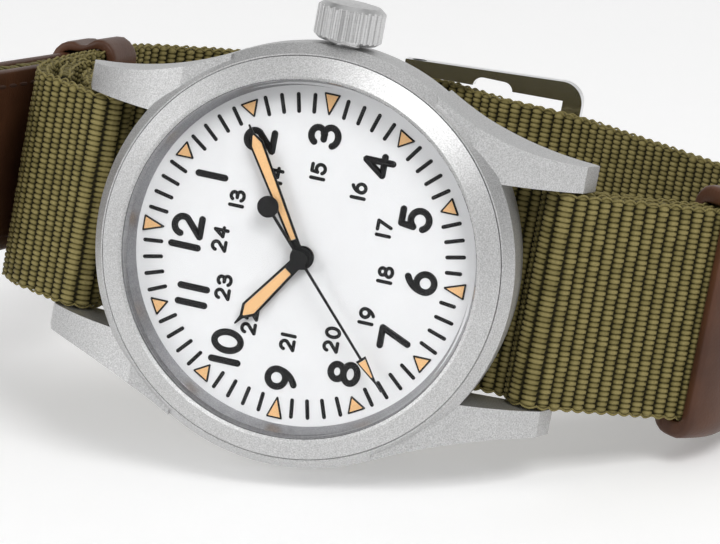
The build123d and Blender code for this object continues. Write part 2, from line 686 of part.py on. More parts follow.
# ---- loose leather keeper over the band and the tail on the 12 side ----
keeper_turn = atan2(side_12[2][1] - side_12[1][1], side_12[2][0] - side_12[1][0])
keeper_z = -33.5
keeper_y = side_12[1][0] + (keeper_z - side_12[1][1]) / tan(keeper_turn)
keeper_plane = Plane(origin=(0, keeper_y, keeper_z), x_dir=(1, 0, 0),
                     z_dir=(0, cos(keeper_turn), sin(keeper_turn)))
keeper_inside = (-band_thick / 2 - 0.15, tail_step + leather_high + 0.15)
with BuildPart() as leather_keeper:
    with BuildSketch(keeper_plane):
        with Locations((0, sum(keeper_inside) / 2)):
            RectangleRounded(22.0, keeper_inside[1] - keeper_inside[0] + 2.0, 0.95)
            Rectangle(20.0, keeper_inside[1] - keeper_inside[0], mode=Mode.SUBTRACT)
    extrude(amount=2.9, both=True)

# ================= buckle, drawn flat: x from the hinge bar to the end bar, z away from the wrist =======
frame_length = 17.6
frame_thick = 1.6
frame_half_hinge = 11.6
frame_half_end = 12.8

with BuildPart() as buckle_frame:
    with BuildSketch(buckle_plane.offset(-frame_thick / 2)) as frame_plan:
        Polygon((-1.3, -frame_half_hinge), (-1.3, frame_half_hinge), (frame_length, frame_half_end),
                (frame_length, -frame_half_end), align=None)
        fillet(frame_plan.vertices().group_by(Axis.X)[-1], radius=2.2)
        Polygon((-2, -10.1), (-2, 10.1), (frame_length - 2.0, 10.7), (frame_length - 2.0, -10.7), align=None,
                mode=Mode.SUBTRACT)
        with Locations((8.2, 0)):
            RectangleRounded(4.2, 22.7, 1.0, mode=Mode.SUBTRACT)
    extrude(amount=frame_thick)
    with Locations((0, *buckle_bar_at)):
        Cylinder(bar_radius, 30, rotation=(0, 90, 0), mode=Mode.SUBTRACT)

with BuildPart() as buckle_bar:
    with Locations((0, *buckle_bar_at)):
        Cylinder(bar_radius, 22.4, rotation=(0, 90, 0))

with BuildPart() as buckle_tongue:
    with BuildSketch(Plane(origin=(-tongue_half, *buckle_bar_at), x_dir=buckle_plane.x_dir, z_dir=(1, 0, 0))):
        Circle(1.45)
        Polygon((0, 1.45), (2.2, 1.15), (16.3, 1.8), (17.9, 1.5), (17.9, 1.05), (16.1, 0.88), (2.4, 0.2), (0, 0),
                align=None)
        Circle(bar_radius + 0.05, mode=Mode.SUBTRACT)
    extrude(amount=2 * tongue_half)

# ================= laying the watch down =================
tip, roll = radians(dial_tip), radians(side_roll)
pieces = {
    "mid_case": mid_case, "bezel": bezel, "crystal": crystal, "crystal_gasket": crystal_gasket,
    "rehaut_ring": rehaut_ring, "dial_plate": dial_plate, "hour_markers": hour_markers,
    "movement_ring": movement_ring, "case_back": case_back, "case_back_gasket": case_back_gasket,
    "crown": crown, "crown_gasket": crown_gasket, "crown_tube": crown_tube, "winding_stem": winding_stem,
    "winding_pinion": winding_pinion, "sliding_pinion": sliding_pinion, "setting_lever": setting_lever,
    "crown_wheel": crown_wheel, "main_plate": main_plate, "barrel_bridge": barrel_bridge,
    "train_bridge": train_bridge, "jewels": jewels, "pallet_bridge": pallet_bridge,
    "balance_cock": balance_cock, "movement_screws": movement_screws, "barrel": barrel,
    "barrel_cover": barrel_cover, "mainspring": mainspring, "barrel_arbor": barrel_arbor,
    "ratchet_wheel": ratchet_wheel, "ratchet_screw": ratchet_screw, "click": click,
    "second_wheel": second_wheel, "third_wheel": third_wheel, "fourth_wheel": fourth_wheel,
    "escape_wheel": escape_wheel, "pallet_fork": pallet_fork, "balance_wheel": balance_wheel,
    "hairspring": hairspring, "cannon_pinion": cannon_pinion, "hour_wheel": hour_wheel,
    "minute_wheel": minute_wheel, "setting_wheel": setting_wheel, "hour_hand": hour_hand,
    "hour_lume": hour_lume, "minute_hand": minute_hand, "minute_lume": minute_lume,
    "second_hand": second_hand, "second_lume": second_lume, "spring_bar_tubes": spring_bar_tubes,
    "spring_bar_tips": spring_bar_tips, "main_strap": main_strap, "tail_facing": tail_facing,
    "tail_lining": tail_lining, "lining_strap": lining_strap, "leather_ring": leather_ring,
    "leather_keeper": leather_keeper, "buckle_frame": buckle_frame, "buckle_bar": buckle_bar,
    "buckle_tongue": buckle_tongue}
lying = Plane(origin=(0, 0, 0), x_dir=(sin(roll), cos(roll) * sin(tip), cos(roll) * cos(tip)),
              z_dir=(0, -cos(tip), sin(tip))).location
boxes = [piece.part.moved(lying).bounding_box() for piece in pieces.values()]
low = [min(tuple(box.min)[k] for box in boxes) for k in range(3)]
high = [max(tuple(box.max)[k] for box in boxes) for k in range(3)]
to_floor = Location((-(low[0] + high[0]) / 2, -(low[1] + high[1]) / 2, -low[2]))
print("bench origin after laying down", tuple(to_floor.position))

os.makedirs("parts", exist_ok=True)
for name, piece in pieces.items():
    laid = piece.part.moved(to_floor * lying)
    laid.label = name
    export_step(laid, f"parts/{name}.step")
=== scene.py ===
import json
from math import atan2, ceil, cos, pi, radians, sin, tan
import bmesh
import bpy
import numpy as np
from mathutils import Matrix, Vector


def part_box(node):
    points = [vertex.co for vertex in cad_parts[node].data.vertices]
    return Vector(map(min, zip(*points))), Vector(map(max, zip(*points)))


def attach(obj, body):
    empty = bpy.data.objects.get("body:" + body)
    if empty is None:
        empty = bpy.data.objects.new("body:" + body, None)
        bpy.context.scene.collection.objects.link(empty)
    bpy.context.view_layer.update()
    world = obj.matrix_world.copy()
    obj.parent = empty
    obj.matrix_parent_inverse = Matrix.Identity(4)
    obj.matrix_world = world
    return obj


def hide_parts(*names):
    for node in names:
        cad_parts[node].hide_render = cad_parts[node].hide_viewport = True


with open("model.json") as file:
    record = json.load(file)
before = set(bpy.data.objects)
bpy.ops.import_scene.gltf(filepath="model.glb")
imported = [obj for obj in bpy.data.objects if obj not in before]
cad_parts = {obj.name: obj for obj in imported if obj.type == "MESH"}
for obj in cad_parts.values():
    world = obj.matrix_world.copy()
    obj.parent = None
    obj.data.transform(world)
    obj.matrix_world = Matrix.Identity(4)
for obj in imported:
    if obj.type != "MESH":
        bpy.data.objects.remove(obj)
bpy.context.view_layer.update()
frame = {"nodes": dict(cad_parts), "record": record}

# ---- the bench frame: +X to the crown, +Y to 12, +Z out of the dial, millimetres ----
DIAL_TIP, SIDE_ROLL = radians(6.3), radians(8.97)
BENCH_X = np.array((sin(SIDE_ROLL), cos(SIDE_ROLL) * sin(DIAL_TIP), cos(SIDE_ROLL) * cos(DIAL_TIP)))
BENCH_Z = np.array((0.0, -cos(DIAL_TIP), sin(DIAL_TIP)))
BENCH_Y = np.cross(BENCH_Z, BENCH_X)
dial_low, dial_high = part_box("dial_plate")
DIAL_THICK = 0.4
BENCH_ORIGIN = (np.array(dial_low) + np.array(dial_high)) * 500 + BENCH_Z * DIAL_THICK / 2


def laid(points):
    """Bench millimetres to row-frame metres."""
    points = np.asarray(points, dtype=float)
    return (BENCH_ORIGIN + points @ np.array((BENCH_X, BENCH_Y, BENCH_Z))) / 1000


# ================= materials =================
def material(name, color, roughness, metallic=0.0, **sockets):
    """New material with a Principled shader; returns it with its nodes and the shader."""
    made = bpy.data.materials.new(name)
    made.use_nodes = True
    nodes = made.node_tree.nodes
    shader = nodes["Principled BSDF"]
    shader.inputs["Base Color"].default_value = (*color, 1)
    shader.inputs["Roughness"].default_value = roughness
    shader.inputs["Metallic"].default_value = metallic
    for socket, value in sockets.items():
        shader.inputs[socket.replace("_", " ")].default_value = value
    return made, nodes, made.node_tree.links, shader


def node(nodes, kind, **settings):
    made = nodes.new(kind)
    for key, value in settings.items():
        if key in made.inputs:
            made.inputs[key].default_value = value
        else:
            setattr(made, key, value)
    return made


def noise(nodes, links, scale, detail=2.0, stretch=None, coords="Object", roughness=0.5):
    where = node(nodes, "ShaderNodeTexCoord")
    out = where.outputs[coords]
    if stretch:
        mapping = node(nodes, "ShaderNodeMapping")
        mapping.inputs["Scale"].default_value = stretch
        links.new(out, mapping.inputs["Vector"])
        out = mapping.outputs["Vector"]
    made = node(nodes, "ShaderNodeTexNoise", Scale=scale, Detail=detail, Roughness=roughness)
    links.new(out, made.inputs["Vector"])
    return made.outputs["Fac"]


def tint(nodes, links, factor, stops):
    """Colour ramp over a factor, from (position, colour) stops."""
    ramp = node(nodes, "ShaderNodeValToRGB")
    elements = ramp.color_ramp.elements
    while len(elements) < len(stops):
        elements.new(0.5)
    for element, (position, color) in zip(elements, stops):
        element.position = position
        element.color = (*color, 1)
    links.new(factor, ramp.inputs["Fac"])
    return ramp.outputs["Color"]


def bump(nodes, links, shader, height, strength, distance, below=None):
    made = node(nodes, "ShaderNodeBump", Strength=strength, Distance=distance)
    links.new(height, made.inputs["Height"])
    if below is not None:
        links.new(below, made.inputs["Normal"])
    links.new(made.outputs["Normal"], shader.inputs["Normal"])
    return made.outputs["Normal"]


def spread(nodes, links, factor, low, high):
    """Factor mapped onto a range, as for a roughness."""
    made = node(nodes, "ShaderNodeMapRange")
    made.inputs["To Min"].default_value = low
    made.inputs["To Max"].default_value = high
    links.new(factor, made.inputs["Value"])
    return made.outputs["Result"]


def grained(name, color, roughness, metallic, scale, strength, distance, contrast=0.12, stretch=None,
            **sockets):
    """Surface with a fine grain in its colour, roughness and relief."""
    made, nodes, links, shader = material(name, color, roughness, metallic, **sockets)
    fine = noise(nodes, links, scale, 3.0, stretch)
    broad = noise(nodes, links, scale * 0.04, 2.0)
    dark = tuple(c * (1 - contrast) for c in color)
    light = tuple(min(1, c * (1 + contrast)) for c in color)
    links.new(tint(nodes, links, fine, [(0.32, dark), (0.68, light)]), shader.inputs["Base Color"])
    links.new(spread(nodes, links, broad, roughness * 0.88, roughness * 1.12), shader.inputs["Roughness"])
    bump(nodes, links, shader, fine, strength, distance)
    return made


def fabric_material():
    made, nodes, links, shader = material("olive_webbing", (0.25, 0.22, 0.1), 0.62, Sheen_Weight=0.02,
                                          Specular_IOR_Level=0.12)
    height = node(nodes, "ShaderNodeAttribute", attribute_name="relief").outputs["Fac"]
    threads = noise(nodes, links, 16, 2.0, (1, 1, 1), "UV")
    fibres = noise(nodes, links, 9, 2.0, (3.2, 0.5, 1), "UV")
    # painted shade: this ramp over the weave's relief height darkens the low places (the gaps between ribs and
    # knuckles, and the edges) down to near-black where shade falls; only its top stop is the olive's own colour
    base = tint(nodes, links, height, [(0.0, (0.004, 0.0035, 0.0008)), (0.4, (0.022, 0.018, 0.004)),
                                       (0.62, (0.13, 0.108, 0.034)), (0.9, (0.29, 0.243, 0.096))])
    shade = tint(nodes, links, fibres, [(0.25, (0.72, 0.72, 0.72)), (0.75, (1.2, 1.2, 1.2))])
    mix = node(nodes, "ShaderNodeMixRGB", blend_type="MULTIPLY")
    mix.inputs["Fac"].default_value = 1.0
    links.new(base, mix.inputs["Color1"])
    links.new(shade, mix.inputs["Color2"])
    links.new(mix.outputs["Color"], shader.inputs["Base Color"])
    first = bump(nodes, links, shader, fibres, 0.5, 0.00008)
    bump(nodes, links, shader, threads, 0.25, 0.00005, below=first)
    return made


def leather_material(name, color, dark, roughness=0.42):
    made, nodes, links, shader = material(name, color, roughness, Specular_IOR_Level=0.32)
    broad = noise(nodes, links, 160, 3.0)
    where = node(nodes, "ShaderNodeTexCoord")
    cells = node(nodes, "ShaderNodeTexVoronoi", Scale=3400.0)
    links.new(where.outputs["Object"], cells.inputs["Vector"])
    fine = noise(nodes, links, 5200, 2.0)
    links.new(tint(nodes, links, broad, [(0.3, dark), (0.7, color)]), shader.inputs["Base Color"])
    links.new(spread(nodes, links, broad, roughness * 1.2, roughness * 0.85), shader.inputs["Roughness"])
    first = bump(nodes, links, shader, cells.outputs["Distance"], 0.22, 0.00006)
    bump(nodes, links, shader, fine, 0.2, 0.00004, below=first)
    return made


def glass_material():
    made, nodes, links, shader = material("sapphire_glass", (1, 1, 1), 0.0, Transmission_Weight=1.0, IOR=1.12)
    clear = node(nodes, "ShaderNodeBsdfTransparent")
    path = node(nodes, "ShaderNodeLightPath")
    mix = node(nodes, "ShaderNodeMixShader")
    links.new(path.outputs["Is Shadow Ray"], mix.inputs["Fac"])
    links.new(shader.outputs["BSDF"], mix.inputs[1])
    links.new(clear.outputs["BSDF"], mix.inputs[2])
    links.new(mix.outputs["Shader"], nodes["Material Output"].inputs["Surface"])
    return made


BLACK = (0.006, 0.006, 0.0065)
MATERIALS = {
    "sandblasted_steel": grained("sandblasted_steel", (0.60, 0.60, 0.60), 0.5, 1.0, 8500, 0.7, 0.00003, 0.22),
    "brushed_steel": grained("brushed_steel", (0.62, 0.62, 0.62), 0.3, 1.0, 1500, 0.12, 0.00002, 0.08,
                             (1, 1, 12)),
    "polished_steel": grained("polished_steel", (0.68, 0.68, 0.68), 0.16, 1.0, 1200, 0.04, 0.00002, 0.04),
    "sapphire": glass_material(),
    "gasket_rubber": grained("gasket_rubber", (0.02, 0.02, 0.02), 0.7, 0.0, 2500, 0.2, 0.00003),
    "dial_enamel": grained("dial_enamel", (0.66, 0.665, 0.675), 0.35, 0.0, 900, 0.02, 0.00001, 0.01),
    "lume": grained("lume", (0.68, 0.41, 0.19), 0.75, 0.0, 9000, 0.3, 0.00003, 0.08),
    "black_lacquer": grained("black_lacquer", BLACK, 0.3, 0.0, 1200, 0.02, 0.00001, 0.05,
                             Specular_IOR_Level=0.3),
    "movement_ring_plastic": grained("movement_ring_plastic", (0.75, 0.75, 0.73), 0.5, 0.0, 1500, 0.1, 0.00002),
    "nickel_plate": grained("nickel_plate", (0.70, 0.69, 0.66), 0.28, 1.0, 1800, 0.1, 0.00002, 0.06, (1, 8, 1)),
    "gilt_brass": grained("gilt_brass", (0.80, 0.62, 0.30), 0.26, 1.0, 1800, 0.08, 0.00002, 0.06),
    "hardened_steel": grained("hardened_steel", (0.52, 0.52, 0.53), 0.2, 1.0, 1500, 0.05, 0.00002, 0.05),
    "spring_alloy": grained("spring_alloy", (0.20, 0.26, 0.42), 0.25, 1.0, 1500, 0.05, 0.00002, 0.05),
    "ruby": grained("ruby", (0.55, 0.02, 0.10), 0.1, 0.0, 1500, 0.02, 0.00002, 0.05),
    "olive_textile": fabric_material(),
    "brown_leather": leather_material("brown_leather", (0.105, 0.042, 0.02), (0.055, 0.021, 0.011)),
}
THREAD = grained("brown_thread", (0.06, 0.028, 0.018), 0.6, 0.0, 4000, 0.4, 0.00004, 0.2)
for part in frame["record"]["subparts"]:
    shown = frame["nodes"][part["node"]]
    shown.data.materials.clear()
    shown.data.materials.append(MATERIALS[part["material_slot"]])
FLANGE = grained("satin_flange", (0.36, 0.36, 0.37), 0.42, 1.0, 6000, 0.2, 0.00002, 0.15)
frame["nodes"]["rehaut_ring"].data.materials.clear()
frame["nodes"]["rehaut_ring"].data.materials.append(FLANGE)


# ================= mesh helpers =================
def piece(name, vertices, faces, slot, body="case", material_made=None, replaced=(), smooth=True, uv=None,
          relief=None):
    """Object from row-frame vertices and faces, riding on a CAD body."""
    mesh = bpy.data.meshes.new(name)
    mesh.from_pydata(np.asarray(vertices).tolist(), [], faces if isinstance(faces, list) else faces.tolist())
    # the weave's relief height is kept on the mesh; the webbing material paints shade from it in the low places
    if relief is not None:
        layer = mesh.attributes.new("relief", "FLOAT", "POINT")
        layer.data.foreach_set("value", np.asarray(relief, dtype=np.float32))
    if uv is not None:
        layer = mesh.uv_layers.new(name="weave")
        loops = np.empty(len(mesh.loops), dtype=np.int32)
        mesh.loops.foreach_get("vertex_index", loops)
        layer.data.foreach_set("uv", np.asarray(uv, dtype=np.float32)[loops].ravel())
    mesh.polygons.foreach_set("use_smooth", [smooth] * len(mesh.polygons))
    mesh.materials.append(material_made or MATERIALS[slot])
    mesh.validate()
    made = bpy.data.objects.new(name, mesh)
    bpy.context.scene.collection.objects.link(made)
    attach(made, body)
    if replaced:
        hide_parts(*replaced)
    return made


def runs_of(corners):
    """Straight runs and arcs of a route of (y, z, radius) corners: (length, start, heading, curvature)."""
    runs = []
    here = np.array(corners[0][:2])
    heading = 0.0
    for before, corner, after in zip(corners, corners[1:], corners[2:]):
        heading = atan2(corner[1] - before[1], corner[0] - before[0])
        leaving = atan2(after[1] - corner[1], after[0] - corner[0])
        turn = (leaving - heading + pi) % (2 * pi) - pi
        radius = corner[2]
        reach = radius * tan(abs(turn) / 2)
        point = np.array(corner[:2])
        bend_start = point - reach * np.array((cos(heading), sin(heading)))
        runs.append((np.linalg.norm(bend_start - here), here, heading, 0.0))
        runs.append((radius * abs(turn), bend_start, heading, (1 if turn > 0 else -1) / radius))
        here = point + reach * np.array((cos(leaving), sin(leaving)))
        heading = leaving
    end = np.array(corners[-1][:2])
    runs.append((np.linalg.norm(end - here), here, atan2(end[1] - here[1], end[0] - here[0]), 0.0))
    return runs


def stations(corners, distances):
    """Points and left normals of a route at the given distances from its start."""
    runs = runs_of(corners)
    starts = np.cumsum([0] + [run[0] for run in runs])
    points, normals = [], []
    for distance in distances:
        k = min(max(int(np.searchsorted(starts, distance, side="right")) - 1, 0), len(runs) - 1)
        gone = distance - starts[k]
        _, start, heading, curvature = runs[k]
        angle = heading + curvature * gone
        if curvature:
            offset = np.array((sin(angle) - sin(heading), cos(heading) - cos(angle))) / curvature
        else:
            offset = gone * np.array((cos(heading), sin(heading)))
        points.append(start + offset)
        normals.append((-sin(angle), cos(angle)))
    return np.array(points), np.array(normals)


def route_length(corners):
    return sum(run[0] for run in runs_of(corners))


def around(centre, radius, start, end):
    """Corner that carries a route round a bar, between two tangent angles in degrees."""
    half = radians(abs(end - start) / 2)
    middle = radians((start + end) / 2)
    reach = radius / cos(half)
    return (centre[0] + reach * cos(middle), centre[1] + reach * sin(middle), radius)


def beside(corners, gap):
    """The same run of corners, moved sideways by a gap to the left of its direction."""
    moved = []
    for before, here, after in zip(corners, corners[1:], corners[2:]):
        turn_in = atan2(here[1] - before[1], here[0] - before[0])
        turn_out = atan2(after[1] - here[1], after[0] - here[0])
        turn = (turn_out - turn_in + pi) % (2 * pi) - pi
        side = turn_in + turn / 2 + pi / 2
        reach = gap / cos(turn / 2)
        radius = here[2] - gap if turn > 0 else here[2] + gap
        moved.append((here[0] + reach * cos(side), here[1] + reach * sin(side), radius))
    return moved


def toward(start, target, distance):
    heading = atan2(target[1] - start[1], target[0] - start[0])
    return (start[0] + distance * cos(heading), start[1] + distance * sin(heading))


def tube_faces(rows, columns, close_rows=False, caps=True, base=0):
    """Quads over a grid whose columns close on themselves, with a cap at each end."""
    row = np.arange(rows if close_rows else rows - 1)[:, None]
    column = np.arange(columns)[None, :]
    following = (column + 1) % columns
    after = (row + 1) % rows
    quads = np.stack([row * columns + column, row * columns + following, after * columns + following,
                      after * columns + column], axis=-1).reshape(-1, 4) + base
    faces = quads.tolist()
    if caps and not close_rows:
        faces.append([base + k for k in reversed(range(columns))])
        faces.append([base + (rows - 1) * columns + k for k in range(columns)])
    return faces


# ================= the strap's routes in the plane x = 0 =================
BAND_WIDTH, BAND_THICK, BAND_GAP = 19.4, 1.4, 0.1
LEATHER_THICK, TAIL_WIDTH = 0.75, 17.8
BAR_RADIUS = 0.75
BACK_BOTTOM = -6.5
BAR_12, BAR_6 = (21.3, -6.1), (-21.3, -6.1)
BUCKLE_BAR, END_BAR = (3.2, -59.4), (-13.4, -58.8)
WRAP = BAR_RADIUS + 0.08 + BAND_THICK / 2
BUCKLE_TURN = atan2(END_BAR[1] - BUCKLE_BAR[1], END_BAR[0] - BUCKLE_BAR[0]) * 180 / pi
UNDER_CASE = BACK_BOTTOM - 0.12 - BAND_THICK / 2
GAP_LINE = BAR_12[0] - WRAP
SIDE_12 = [(17.5, -55.86, 14), (28.0, -41.5, 12), (30.0, -26.0, 30), (30.5, -17.5, 25), (29.2, -9.77, 7)]
SIDE_6 = [(-35.6, -14.96, 9), (-38.25, -27.3, 9), (-33.5, -40.5, 18), (-14.6, -55.7, 9)]
TAIL_RISE = [(-6.4, -57.4, 4), around(BUCKLE_BAR, 3.83, -121, -70.1)]
BAND_CORNERS = [
    (12.9, -55.87), (10.87, -56.65, 4),
    around(BUCKLE_BAR, WRAP, 98.9, BUCKLE_TURN), around(BUCKLE_BAR, WRAP, BUCKLE_TURN - 360, -70.1),
    *SIDE_12,
    around(BAR_12, WRAP, 55, 90), around(BAR_12, WRAP, 90, 180),
    (GAP_LINE, UNDER_CASE, 1.4), (-GAP_LINE, UNDER_CASE, 1.4),
    around(BAR_6, WRAP, 0, 90), around(BAR_6, WRAP, 90, 127),
    *SIDE_6, *TAIL_RISE]
TAIL_STEP = BAND_THICK + 0.12 + LEATHER_THICK + 0.03
TAIL_CORNERS = beside([around(BUCKLE_BAR, WRAP, BUCKLE_TURN - 360, -70.1), *SIDE_12[:3]], -TAIL_STEP)
TAIL_TIP = (35.3, -4.4)
TAIL_START = (8.0, TAIL_RISE[1][1] + (8.0 - TAIL_RISE[1][0]) * tan(radians(19.9)))
LINING_STEP = BAND_THICK + BAND_GAP
LINING_UNDER = UNDER_CASE - LINING_STEP
lining_6 = beside([around(BAR_6, WRAP, 90, 127), *SIDE_6], LINING_STEP)
FIRST, SECOND, THIRD = lining_6[:3]
LINING_MEET = (FIRST[0] + (LINING_UNDER - FIRST[1]) / tan(radians(37)), LINING_UNDER)
LINING_CORNERS = [
    (27.2, -11.2), (28.75, -17.5, 14), (28.6, -22.9, 1.22), (26.15, -22.9, 1.22), (26.1, -15.0, 6),
    (23.6, LINING_UNDER, 3), (*LINING_MEET, 4), FIRST, SECOND, toward(SECOND, THIRD, 3.6)]
LEATHER_LOW = BAND_THICK / 2 + 0.03
LEATHER_HIGH = LEATHER_LOW + LEATHER_THICK
LEATHER_START = (-20.0, SIDE_6[-1][1] + 5.4 * 0.8042)
FACING_CORNERS = [LEATHER_START, SIDE_6[-1], *TAIL_RISE, *TAIL_CORNERS, TAIL_TIP]
MAIN_CORNERS = [*BAND_CORNERS, TAIL_START]
CORE_CORNERS = [TAIL_START, *TAIL_CORNERS, TAIL_TIP]

# ================= woven bands =================
RIB, KNUCKLE, RELIEF = 1.2, 0.48, 0.42
RIB_PHASES = ((0.0, 0.14, 0.36, 0.64, 0.86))


def chance(row, column=0.0):
    """Repeatable number from 0 to 1 for a place in the weave."""
    return np.abs(np.sin(row * 12.9898 + column * 78.233 + 1.7) * 43758.5453) % 1


def woven(corners, width, start=0.0, end=None, low=None, high=None):
    """Ribbed webbing along a route: crosswise ribs of oval knuckles, alternate ribs half a knuckle over."""
    end = route_length(corners) if end is None else end
    low = -width / 2 if low is None else low
    high = width / 2 if high is None else high
    steps = (np.arange(int(start / RIB) - 1, int(end / RIB) + 2)[:, None] + np.array(RIB_PHASES)).ravel() * RIB
    along = np.concatenate([[start], steps[(steps > start + 0.04) & (steps < end - 0.04)], [end]])
    points, normals = stations(corners, along)
    columns = np.arange(ceil((low + 0.16) / KNUCKLE * 4), int(np.floor((high - 0.16) / KNUCKLE * 4)) + 1)
    x_face = columns * KNUCKLE / 4
    # columns: outer face, edge, inner face, edge
    x = np.concatenate([x_face, [high - 0.04, high, high - 0.04], x_face[::-1], [low + 0.04, low, low + 0.04]])
    count = len(x_face)
    side = np.concatenate([np.full(count, -1.0), [-0.72, 0, 0.72], np.full(count, 1.0), [0.72, 0, -0.72]])
    phase = (along / RIB + 1e-6)[:, None]
    row = np.floor(phase)
    spot = x[None, :] / KNUCKLE + (row % 2) / 2 + 1e-6
    knuckle = np.sqrt(np.clip(1 - (2 * (spot % 1) - 1) ** 2, 0, 1))
    plump = 0.78 + 0.27 * knuckle
    rib = np.sqrt(np.clip(1 - ((2 * (phase % 1) - 1) / plump) ** 2, 0, 1))
    uneven = 0.84 + 0.16 * chance(row, np.floor(spot))
    # relief shapes the weave here and also drives the webbing material's painted shade, darker where it is low
    relief = rib ** 0.75 * (0.58 + 0.42 * knuckle) * uneven
    edge = np.abs(side) < 0.9
    relief = np.where(edge[None, :], rib * 0.75 * uneven, relief)
    offset = side[None, :] * (BAND_THICK / 2 - RELIEF * (1 - relief))
    pulled = np.sign(x)[None, :] * (0.12 * chance(row) - 0.34 * (1 - rib))
    lean = np.where(edge[None, :], 0.0, 0.07 * (chance(row, np.floor(spot)) - 0.5) * rib)
    vertices = np.empty((len(along), len(x), 3))
    vertices[..., 0] = x[None, :] + np.where(edge[None, :], pulled, 0.0)
    vertices[..., 1] = points[:, None, 0] + normals[:, None, 0] * offset + normals[:, None, 1] * lean
    vertices[..., 2] = points[:, None, 1] + normals[:, None, 1] * offset - normals[:, None, 0] * lean
    uv = np.stack(np.broadcast_arrays(x[None, :], along[:, None]), axis=-1).reshape(-1, 2)
    return vertices.reshape(-1, 3), tube_faces(len(along), len(x)), uv, relief.ravel()


def selvedge(corners, width, start=0.0, end=None):
    """Thread loops that turn back over both edges of the webbing, two to a rib."""
    end = route_length(corners) if end is None else end
    sides = 5
    vertices, faces, uvs = [], [], []
    for row in range(int(start / RIB), int(end / RIB)):
        for edge in (-1, 1):
            for layer in (-0.42, 0.36):
                lot = chance(row, edge * 3 + layer)
                along = (row + np.linspace(0.02, 1.05, 6)) * RIB
                points, normals = stations(corners, along)
                base = len(vertices)
                for k in range(6):
                    bow = sin(pi * k / 5)
                    reach = width / 2 - 0.16 + (0.2 + 0.14 * lot) * bow
                    level = layer + (lot - 0.5) * 0.5 * bow
                    for step in range(sides):
                        angle = 2 * pi * step / sides
                        place = points[k] + normals[k] * (level + 0.13 * sin(angle))
                        vertices.append((edge * (reach + 0.11 * cos(angle)), *place))
                        uvs.append((edge * reach, along[k]))
                faces += tube_faces(6, sides, base=base)
    # the fixed relief of 0.8 puts the loops a little into the webbing's painted shade
    return np.array(vertices), faces, np.array(uvs), np.full(len(vertices), 0.8)


def join_shells(shells):
    vertices, faces, uvs, reliefs, base = [], [], [], [], 0
    for flat, shell_faces, uv, relief in shells:
        vertices.append(flat)
        faces += [[index + base for index in face] for face in shell_faces]
        uvs.append(uv)
        reliefs.append(relief)
        base += len(flat)
    return np.concatenate(vertices), faces, np.concatenate(uvs), np.concatenate(reliefs)


def webbing(name, shells, replaced=()):
    vertices, faces, uv, relief = join_shells(shells)
    return piece(name, laid(vertices), faces, "olive_textile", uv=uv, relief=relief, replaced=replaced)


# the fold round the buckle's bar is slit for the tongue
slit_half = 1.2
fold = np.arange(0, 40, 0.1)
fold_points, _ = stations(MAIN_CORNERS, fold)
near_bar = np.linalg.norm(fold_points - np.array(BUCKLE_BAR), axis=1) < WRAP + 1.6
slit_start, slit_end = fold[near_bar][0], fold[near_bar][-1]
webbing("webbing_main", [
    woven(MAIN_CORNERS, BAND_WIDTH, end=slit_start),
    woven(MAIN_CORNERS, BAND_WIDTH, start=slit_start, end=slit_end, high=-slit_half),
    woven(MAIN_CORNERS, BAND_WIDTH, start=slit_start, end=slit_end, low=slit_half),
    woven(MAIN_CORNERS, BAND_WIDTH, start=slit_end),
    selvedge(MAIN_CORNERS, BAND_WIDTH, start=slit_end)], replaced=("main_strap",))
lining_shells = [woven(LINING_CORNERS, BAND_WIDTH), selvedge(LINING_CORNERS, BAND_WIDTH)]
webbing("webbing_lining", lining_shells, replaced=("lining_strap",))


# ================= leather =================
def swept(corners, along, section, ends=0.0):
    """Closed section of (x, offset) swept along a route; both ends shrink a little to round them."""
    points, normals = stations(corners, along)
    section = np.array(section)
    middle = section.mean(axis=0)
    total = len(along)
    vertices = np.empty((total, len(section), 3))
    for k in range(total):
        from_end = min(k, total - 1 - k)
        shrink = (0.45, 0.82, 1.0)[min(from_end, 2)] if ends else 1.0
        narrowed = 1 - (1 - shrink) * ends / abs(section[:, 0]).max()
        here = middle + (section - middle) * np.array((narrowed, shrink))
        vertices[k, :, 0] = here[:, 0]
        vertices[k, :, 1:] = points[k] + normals[k] * here[:, 1:2]
    return vertices.reshape(-1, 3), tube_faces(total, len(section))


def strip_section(width, low, high, columns=16, corner=0.28):
    """Flat strip with rolled edges."""
    flat = np.linspace(-width / 2 + corner, width / 2 - corner, columns)
    arc = [(width / 2 - corner + corner * sin(a), corner * cos(a)) for a in (pi / 6, pi / 3, pi / 2)]
    right_low = [(x, low + corner - y) for x, y in arc]
    right_high = [(x, high - corner + y) for x, y in reversed(arc)]
    section = [(x, low) for x in flat] + right_low + right_high
    section += [(x, high) for x in flat[::-1]]
    section += [(-x, y) for x, y in reversed(right_high)] + [(-x, y) for x, y in reversed(right_low)]
    return section


def end_spaced(length, step, edge=0.22):
    """Distances along a strip, close together at both ends."""
    inner = np.linspace(edge * 2, length - edge * 2, max(3, ceil(length / step)))
    return np.concatenate([[0, edge * 0.5], inner, [length - edge * 0.5, length]])


HOLE_COUNT, FIRST_HOLE, HOLE_PITCH, HOLE_RADIUS = 7, 14, 6.5, 1.05
TONGUE_HALF, SLOT_START, SLOT_END = 0.95, 2.4, 10.0


